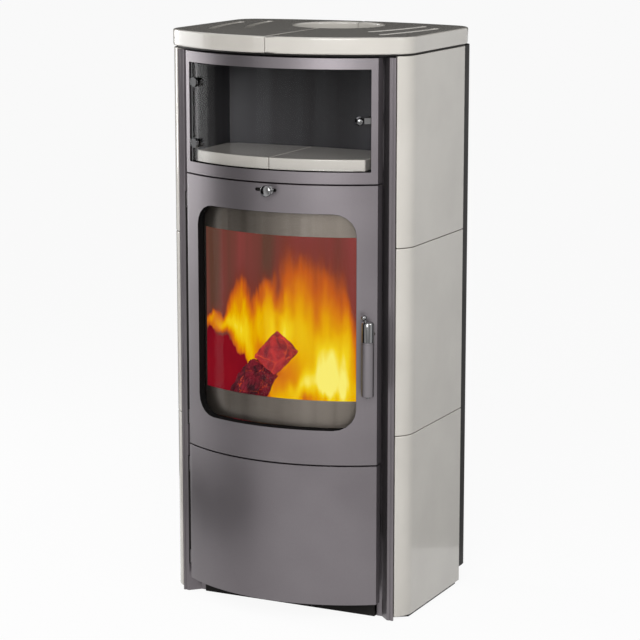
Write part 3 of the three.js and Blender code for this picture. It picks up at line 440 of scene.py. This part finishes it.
def piece(name, bm, body, material, replaces=(), bevel=0.0, segments=2, smooth=SMOOTH_BELOW):
    mesh = bpy.data.meshes.new(name)
    bm.to_mesh(mesh)
    bm.free()
    mesh.materials.append(material)
    mesh.shade_smooth()
    mesh.set_sharp_from_angle(angle=smooth)
    made = bpy.data.objects.new(name, mesh)
    bpy.context.scene.collection.objects.link(made)
    if bevel:
        edge = made.modifiers.new("edge", "BEVEL")
        edge.width = bevel
        edge.segments = segments
        edge.limit_method = "ANGLE"
        edge.angle_limit = SMOOTH_BELOW
        edge.harden_normals = True
    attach(made, body)
    if replaces:
        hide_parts(*replaces)
    made_pieces.append(name)
    return made


def dress(node_name, body, material, bevel=0.0, segments=2, radii=(), columns=0,
          smooth=SMOOTH_BELOW, opening=None):
    """Stands a merged copy of a solid in its place; radii are depths behind the front curve."""
    bm = copy_of(node_name)
    if columns:
        onto_front_curve(bm, [FRONT_RADIUS - back * MM for back in radii], columns)
    if opening:
        dark_rim(bm, *[size * MM for size in opening])
    made = piece(
        f"{node_name}_dressed", bm, body, material, [node_name], bevel, segments, smooth)
    # The second finish paints a shadow line on the rim and the cut faces of the opening.
    if opening:
        made.data.materials.append(shadow_line_black)
    return made


# %% [markdown]
# ## Ceramic top
# The top is one slab in two halves, cast with the flue hole and the air slots in it, and
# the glaze is thick enough to round every rim. The middle slice of each solid gives the
# outline with its holes; it is filled, raised to full thickness and its rims are rounded.

# %% Ceramic top
RIM_ROUND = 4.0 * MM


def rounded_slab(node_name, round_off, segments):
    low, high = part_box(node_name)
    bm = copy_of(node_name)
    middle = (0, 0, (low.z + high.z) / 2)
    sliced = bmesh.ops.bisect_plane(
        bm, geom=everything(bm), dist=1e-6, plane_co=middle, plane_no=(0, 0, 1),
        clear_inner=True, clear_outer=True)
    outline = [part for part in sliced["geom_cut"] if isinstance(part, bmesh.types.BMEdge)]
    bmesh.ops.triangle_fill(bm, edges=outline, use_beauty=True, use_dissolve=False, normal=(0, 0, 1))
    bmesh.ops.translate(bm, verts=bm.verts, vec=(0, 0, low.z - middle[2]))
    raised = bmesh.ops.extrude_face_region(bm, geom=bm.faces[:])
    top = [part for part in raised["geom"] if isinstance(part, bmesh.types.BMVert)]
    bmesh.ops.translate(bm, verts=top, vec=(0, 0, high.z - low.z))
    bmesh.ops.recalc_face_normals(bm, faces=bm.faces)
    rims = [edge for edge in bm.edges
            if edge.is_manifold and edge.calc_face_angle() > math.radians(80)
            and abs(edge.verts[0].co.z - edge.verts[1].co.z) < 1e-6]
    bmesh.ops.bevel(
        bm, geom=rims, offset=round_off, segments=segments, affect="EDGES", profile=0.5,
        material=-1, clamp_overlap=True)
    return bm


for side in ("right", "left"):
    slab = rounded_slab(f"top_plate_{side}", RIM_ROUND, 4)
    top_half = piece(f"glazed_top_{side}", slab, "stove_body", glaze, [f"top_plate_{side}"],
                     smooth=math.radians(50))
    level_faces = top_half.modifiers.new("level_faces", "WEIGHTED_NORMAL")
    level_faces.weight = 100
    level_faces.keep_sharp = True
print("top", len(made_pieces), "pieces")

# %% [markdown]
# ## Tiles
# Three tiles a side, each with one rounded corner towards the front. Their edges are
# rounded by the glaze, which gives the joints their soft double line.

# %% Side tiles and shelf tiles
for level in ("lower", "middle", "upper"):
    for side in ("right", "left"):
        dress(f"side_tile_{level}_{side}", "stove_body", glaze, 1.8 * MM, 3)

for side in ("right", "left"):
    dress(f"shelf_tile_{side}", "stove_body", glaze, 2.2 * MM, 4,
          radii=(13,), columns=40)
print("tiles dressed")

# %% [markdown]
# ## Painted steel
# The doors and the frame of the warming compartment are 3 mm sheet bent to one curve, and
# the corner profiles stand beside them. Only a thin line of light shows on their edges.

# %% Doors, frame and profiles
SHEET_EDGE = 0.7 * MM
# Openings that get the painted shadow line: half width, bottom, top and chamfer width (mm).
SHOW_OPENING = (205, 933, 1137, 2.0)
WINDOW_OPENING = (180, 405.5, 848.5, 2.2)
dress("compartment_frame", "stove_body", paint, SHEET_EDGE, 2, (0, 3, 22), 60,
      opening=SHOW_OPENING)
dress("fire_door_panel", "fire_door", paint, SHEET_EDGE, 2, (0, 3, 22), 60,
      opening=WINDOW_OPENING)
dress("lower_door_panel", "lower_door", paint, SHEET_EDGE, 2, (0, 3, 18), 60)
for side in ("right", "left"):
    dress(f"corner_profile_{side}", "stove_body", paint, 0.8 * MM, 2)
print("painted steel dressed")

# %% [markdown]
# ## Glass
# Both panes are bent like the doors. They are solid plates 4 mm thick, so they show two
# faint reflections and a bright line along their free edge.

# %% Panes
dress("compartment_glass", "glass_door", show_pane, 0.5 * MM, 2, (4.5, 8.5), 60)
dress("fire_door_glass", "fire_door", fire_pane, 0.5 * MM, 2, (22.3, 26.3), 60)

# %% [markdown]
# ## Bright fittings
# Clamps, rod, knobs and the catch of the doors are polished and keep their own shapes, with
# softened rims. The grip of the handle and its cap, which follow, are spun from a half profile,
# which makes them truly round.


# %% Turned shapes
def turned(profile, origin, axis, steps=40):
    """Spins a profile of (radius, height) in millimetres about an axis through origin."""
    bm = bmesh.new()
    points = [bm.verts.new((radius * MM, 0, height * MM)) for radius, height in profile]
    lines = [bm.edges.new(pair) for pair in zip(points, points[1:])]
    bmesh.ops.spin(bm, geom=points + lines, cent=(0, 0, 0), axis=(0, 0, 1), angle=2 * math.pi,
                   steps=steps, use_merge=True, use_normal_flip=False, use_duplicate=False)
    bmesh.ops.remove_doubles(bm, verts=bm.verts, dist=1e-6)
    bmesh.ops.recalc_face_normals(bm, faces=bm.faces)
    turn = Vector(axis).to_track_quat("Z", "Y").to_matrix().to_4x4()
    bmesh.ops.transform(bm, matrix=Matrix.Translation(origin) @ turn, verts=bm.verts)
    return bm


def quarter(radius, height, round_off, outward=1, steps=5):
    """Points of a rounded rim: from the side wall at radius to the end face at height."""
    points = []
    for i in range(steps + 1):
        angle = math.pi / 2 * i / steps
        points.append((radius - round_off * (1 - math.cos(angle)),
                       height - outward * round_off * (1 - math.sin(angle))))
    return points


# %% Knob and clamps of the glass door
for name in ("glass_clamp_lower", "glass_clamp_upper"):
    dress(name, "glass_door", chrome, 0.9 * MM, 3)
dress("glass_catch_plate", "glass_door", chrome, 0.5 * MM, 2)
dress("glass_hinge_rod", "stove_body", chrome, 0.3 * MM, 2)
dress("glass_knob", "glass_door", chrome, 0.5 * MM, 2, smooth=math.radians(50))
dress("air_knob", "air_slide", chrome, 0.4 * MM, 2, smooth=math.radians(50))

# %% [markdown]
# ## Door handle
# A polished sleeve turns on the shaft and carries a small ball. The grip under it is a
# painted tube with a bright cap in its lower end.

# %% Handle
sleeve_low, sleeve_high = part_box("handle_sleeve")
grip_low, grip_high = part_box("handle_grip")
HANDLE_X = (grip_low.x + grip_high.x) / 2
HANDLE_Y = (grip_low.y + grip_high.y) / 2
GRIP_RADIUS = (grip_high.x - grip_low.x) / 2 / MM
grip_length = (grip_high.z - grip_low.z) / MM
CAP_HEIGHT = 4.0

dress("handle_sleeve", "door_handle", chrome, 0.5 * MM, 2, smooth=math.radians(50))
grip_profile = [
    (0, 3), (4.6, 3), (4.6, CAP_HEIGHT), *reversed(quarter(GRIP_RADIUS, CAP_HEIGHT, 1.4, -1)),
    (GRIP_RADIUS, grip_length - 3.4), (GRIP_RADIUS - 0.6, grip_length - 3.2),
    (GRIP_RADIUS - 0.6, grip_length - 2.4), (GRIP_RADIUS, grip_length - 2.2),
    *quarter(GRIP_RADIUS, grip_length, 0.5), (0, grip_length)]
grip = turned(grip_profile, (HANDLE_X, HANDLE_Y, grip_low.z), (0, 0, 1), 48)
piece("handle_grip_tube", grip, "door_handle", grip_paint_and_shade, ["handle_grip"],
      smooth=math.radians(40))
cap_profile = [(0, 0), (3.4, 0), (4.4, 0.8), (4.4, 3.6), (0, 3.6)]
cap = turned(cap_profile, (HANDLE_X, HANDLE_Y, grip_low.z), (0, 0, 1), 32)
piece("handle_end_cap", cap, "door_handle", chrome, smooth=math.radians(40))
dress("handle_shaft", "door_handle", bare, 0.3 * MM, 1)
print("handle", round(grip_length), "mm grip")

# %% [markdown]
# ## Fire
# The flames stand on one upright sheet just in front of the bricks. Their heat is a sum of
# soft spots, dragged upwards by a noise that is stretched along z, and a colour ramp turns
# heat into dark red, orange, yellow and near white. The split logs lie before the sheet.

# %% Flame sheet
FLAME_Y = -127.5 * MM
FLAME_HALF = 195 * MM
FLAME_Z = (408 * MM, 878 * MM)

# heat spots: centre x, centre z, half width, half height (mm), heat
HEAT_SPOTS = (
    (112, 500, 62, 74, 0.56),
    (104, 560, 46, 92, 0.36),
    (128, 440, 60, 50, 0.40),
    (60, 560, 62, 92, 0.34),
    (20, 468, 90, 46, 0.62),
    (4, 600, 46, 62, 0.40),
    (-40, 610, 44, 60, 0.36),
    (40, 660, 70, 80, 0.19),
    (-100, 556, 24, 40, 0.56),
    (-84, 510, 20, 38, 0.50),
    (-112, 600, 26, 44, 0.30),
    (-118, 655, 18, 46, 0.16),
    (-146, 578, 34, 24, 0.50),
    (-176, 606, 20, 15, 0.46),
    (-70, 600, 40, 46, 0.26),
    (8, 750, 30, 90, 0.12),
    (96, 720, 60, 80, 0.10),
)
EMBER_SPOTS = (
    (-190, 470, 62, 70, 1.5),
    (-135, 452, 52, 66, 1.1),
    (-180, 560, 16, 34, 0.7),
)

flames = bpy.data.materials.new("flames")
tree = tree_of(flames)
coordinates = node(tree, "ShaderNodeTexCoord").outputs["Object"]


def noise_colour(scale, stretch, detail):
    moved = node(tree, "ShaderNodeMapping", {"Vector": coordinates, "Scale": stretch}).outputs[0]
    return node(tree, "ShaderNodeTexNoise", {"Vector": moved, "Scale": scale, "Detail": detail}).outputs


def drag(vector, noise, amount):
    half = (0.5, 0.5, 0.5)
    centred = node(
        tree, "ShaderNodeVectorMath", {0: noise["Color"], 1: half}, operation="SUBTRACT")
    scaled = node(
        tree, "ShaderNodeVectorMath", {0: centred.outputs[0], 1: amount}, operation="MULTIPLY")
    moved = node(tree, "ShaderNodeVectorMath", {0: vector, 1: scaled.outputs[0]}, operation="ADD")
    return moved.outputs[0]


dragged = drag(coordinates, noise_colour(11, (1, 1, 0.4), 2), (0.06, 0, 0.14))
dragged = drag(dragged, noise_colour(42, (1, 1, 0.22), 3), (0.035, 0, 0.10))
split = node(tree, "ShaderNodeSeparateXYZ", {"Vector": dragged})


def soft_spots(parts, spots):
    total = None
    for x, z, wide, tall, heat in spots:
        across = maths(tree, "DIVIDE", maths(tree, "SUBTRACT", parts.outputs["X"], x * MM), wide * MM)
        upward = maths(tree, "DIVIDE", maths(tree, "SUBTRACT", parts.outputs["Z"], z * MM), tall * MM)
        distance = maths(tree, "MULTIPLY_ADD", across, across, maths(tree, "MULTIPLY", upward, upward))
        soft = maths(tree, "EXPONENT", maths(tree, "MULTIPLY", distance, -1.0))
        total = maths(tree, "MULTIPLY_ADD", soft, heat, total if total is not None else 0.0)
    return total


heat = soft_spots(split, HEAT_SPOTS)
streaks = noise_colour(34, (1, 1, 0.10), 4)["Fac"]
heat = maths(tree, "MULTIPLY", heat, spread(tree, streaks, 0.55, 1.45))
glow = ramp(
    tree, heat,
    (0.00, (0.120, 0.030, 0.022)), (0.14, (0.200, 0.040, 0.024)), (0.28, (0.560, 0.110, 0.012)),
    (0.42, (0.720, 0.220, 0.004)), (0.60, (0.830, 0.440, 0.000)), (0.82, (0.930, 0.680, 0.012)),
    (1.00, (1.000, 0.900, 0.180)))
haze = noise_colour(16, (1, 1, 0.04), 3)["Fac"]
haze_tint = ramp(
    tree, haze, (0.34, (0.115, 0.050, 0.034)), (0.48, (0.190, 0.050, 0.042)),
    (0.64, (0.300, 0.055, 0.055)))
cold = maths(tree, "SUBTRACT", 1.0, maths(tree, "MULTIPLY", heat, 4.5))
cold = node(tree, "ShaderNodeClamp", {"Value": cold}).outputs[0]
ember = soft_spots(split, EMBER_SPOTS)
ember = node(
    tree, "ShaderNodeMapRange", {"Value": ember, "From Min": 0.44, "From Max": 0.54}).outputs[0]
embers = ramp(
    tree, noise_colour(20, (1, 1, 0.5), 3)["Fac"],
    (0.3, (0.17, 0.004, 0.013)), (0.7, (0.25, 0.006, 0.014)))


def blend_colours(share, first, second):
    made = node(tree, "ShaderNodeMix", data_type="RGBA")
    tree.links.new(share, made.inputs[0])
    tree.links.new(first, made.inputs[6])
    tree.links.new(second, made.inputs[7])
    return made.outputs[2]


behind = blend_colours(cold, glow, haze_tint)
lit = blend_colours(ember, behind, embers)
fire_light = node(tree, "ShaderNodeEmission", {"Strength": 1.0})
tree.links.new(lit, fire_light.inputs["Color"])
node(tree, "ShaderNodeOutputMaterial", {"Surface": fire_light.outputs[0]})

bm = bmesh.new()
bmesh.ops.create_grid(bm, x_segments=24, y_segments=32, size=0.5)
bmesh.ops.scale(bm, vec=(2 * FLAME_HALF, FLAME_Z[1] - FLAME_Z[0], 1), verts=bm.verts)
bmesh.ops.rotate(bm, matrix=Matrix.Rotation(math.pi / 2, 3, "X"), verts=bm.verts)
bmesh.ops.translate(bm, vec=(0, FLAME_Y, sum(FLAME_Z) / 2), verts=bm.verts)
piece("flames", bm, "stove_body", flames)
print("flames", len(HEAT_SPOTS), "spots")

# %% [markdown]
# ## Logs
# A split log is a wedge of a round one: a short prism with few sides, cut finer, whose
# faces are pushed in and out by noise. The charred one leans against the glowing one.

# %% Logs
def log_material(name, cool, warm, hot, line_scale, line_width):
    made, tree, shader = finish(name, Roughness=0.95)
    rough = grain(tree, 70, 4, (1, 1, 0.5))
    body = ramp(tree, rough, (0.36, cool), (0.64, warm))
    cracks = node(tree, "ShaderNodeTexVoronoi", {"Vector": place(tree), "Scale": line_scale},
                  feature="DISTANCE_TO_EDGE").outputs["Distance"]
    near = node(tree, "ShaderNodeMapRange", {
        "Value": cracks, "From Min": line_width, "From Max": 0.0}).outputs[0]
    near = maths(tree, "MULTIPLY", near, spread(tree, grain(tree, 30, 2), -0.6, 1.8))
    near = node(tree, "ShaderNodeClamp", {"Value": near}).outputs[0]
    glow = node(tree, "ShaderNodeMix", data_type="RGBA")
    tree.links.new(near, glow.inputs[0])
    tree.links.new(body, glow.inputs[6])
    glow.inputs[7].default_value = (*hot, 1)
    join(tree, glow.outputs[2], shader, "Emission Color")
    join(tree, body, shader, "Base Color")
    shader.inputs["Emission Strength"].default_value = 1.0
    roughen(tree, shader, rough, 0.8, 0.002)
    return made


dark_bark = log_material(
    "charred_bark", (0.018, 0.001, 0.004), (0.110, 0.004, 0.012), (0.62, 0.07, 0.01), 24, 0.020)
red_wood = log_material(
    "glowing_wood", (0.085, 0.005, 0.010), (0.250, 0.014, 0.014), (0.62, 0.08, 0.012), 19, 0.018)
random.seed(7)


def split_log(name, start, end, radius, sides, roll, material, rough, end_cut=0.0):
    """A log from start to end (mm), with as many flat sides as it was split into."""
    start, end = Vector(start) * MM, Vector(end) * MM
    along = end - start
    bm = bmesh.new()
    bmesh.ops.create_cone(
        bm, cap_ends=True, cap_tris=False, segments=sides, radius1=radius * MM,
        radius2=radius * MM * 0.94, depth=along.length)
    for vert in bm.verts:
        if vert.co.z > 0:
            vert.co.z += end_cut * vert.co.x
    bmesh.ops.bevel(
        bm, geom=bm.edges[:], offset=2.5 * MM, segments=1, affect="EDGES", profile=0.5, material=-1,
        clamp_overlap=True)
    for face in list(bm.faces):
        if len(face.verts) > 4 or face.calc_area() > 0.0004:
            bmesh.ops.poke(bm, faces=[face])
    bmesh.ops.triangulate(bm, faces=bm.faces[:])
    for cuts in (2, 2):
        bmesh.ops.subdivide_edges(bm, edges=bm.edges[:], cuts=cuts, use_grid_fill=True)
        for vert in bm.verts:
            vert.co += vert.normal * rough * MM * (random.random() - 0.5)
    bmesh.ops.smooth_vert(
        bm, verts=bm.verts, factor=0.4, use_axis_x=True, use_axis_y=True, use_axis_z=True)
    turn = along.to_track_quat("Z", "Y").to_matrix().to_4x4()
    spin = Matrix.Rotation(math.radians(roll), 4, "Z")
    bmesh.ops.transform(bm, matrix=Matrix.Translation((start + end) / 2) @ turn @ spin, verts=bm.verts)
    bmesh.ops.recalc_face_normals(bm, faces=bm.faces)
    return piece(name, bm, "stove_body", material, smooth=math.radians(25))


split_log("log_glowing", (-17, -129, 546), (-11, -174, 541), 43, 4, 4, red_wood, 4)
split_log("log_charred", (-108, -140, 410), (-46, -156, 506), 34, 10, 0, dark_bark, 10, 0.25)
print("logs laid")

# %% [markdown]
# ## Behind the doors and at the back
# The rest keeps its own solids. A weld and a small bevel finish their edges, and each gets
# the finish it is made of: black sheet, cast iron, fire brick, rope or bare steel.

# %% Plates and hidden pieces
for name in ("log_retainer", "air_deflector"):
    dress(name, "stove_body", bare, 0.4 * MM, 2, (27.0, 29.6), 60)

for name, body, material, slot, bevel in (
        ("rear_cover", "stove_body", black, "black_steel", 0.6),
        ("flue_pipe", "stove_body", iron, "cast_iron", 0.6),
        ("air_inlet_pipe", "stove_body", black, "black_steel", 0.5),
        ("rear_outlet_cover", "stove_body", black, "black_steel", 0.8),
        ("compartment_liner", "stove_body", enamel, "black_steel", 0.4),
        ("top_frame", "stove_body", black, "black_steel", 0.4),
        ("firebox_front", "stove_body", iron, "cast_iron", 0.8),
        ("fire_door_seal", "fire_door", rope, "seal_rope", 2.5),
        ("glass_retainer", "fire_door", black, "black_steel", 0.4),
        ("fire_door_hinge", "stove_body", black, "black_steel", 0.3),
        ("lower_door_hinge", "stove_body", black, "black_steel", 0.3)):
    dress(name, body, material, bevel * MM, 2)

KEPT = {
    "base_plate": black, "side_panel_right": black, "side_panel_left": black, "carcass_back": black,
    "compartment_floor": enamel, "compartment_ceiling": enamel, "glass_door_magnet": black,
    "air_slide_plate": black, "lower_door_magnet": black, "pan_rail_right": black, "pan_rail_left": black,
    "firebox_floor": iron, "firebox_ceiling": iron, "firebox_shell": iron, "grate": iron,
    "hearth_brick": brick, "side_brick_right": brick, "side_brick_left": brick, "rear_brick": brick,
    "baffle_plate": brick, "ash_pan": bare,
}
for name, material in KEPT.items():
    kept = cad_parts[name]
    kept.data.materials.clear()
    kept.data.materials.append(material)
    weld = kept.modifiers.new("weld", "WELD")
    weld.merge_threshold = WELD_BELOW
    edge = kept.modifiers.new("edge", "BEVEL")
    edge.width = 0.5 * MM
    edge.segments = 2
    edge.limit_method = "ANGLE"
    edge.angle_limit = SMOOTH_BELOW
print("kept", len(KEPT), "solids; dressed", len(made_pieces), "pieces")
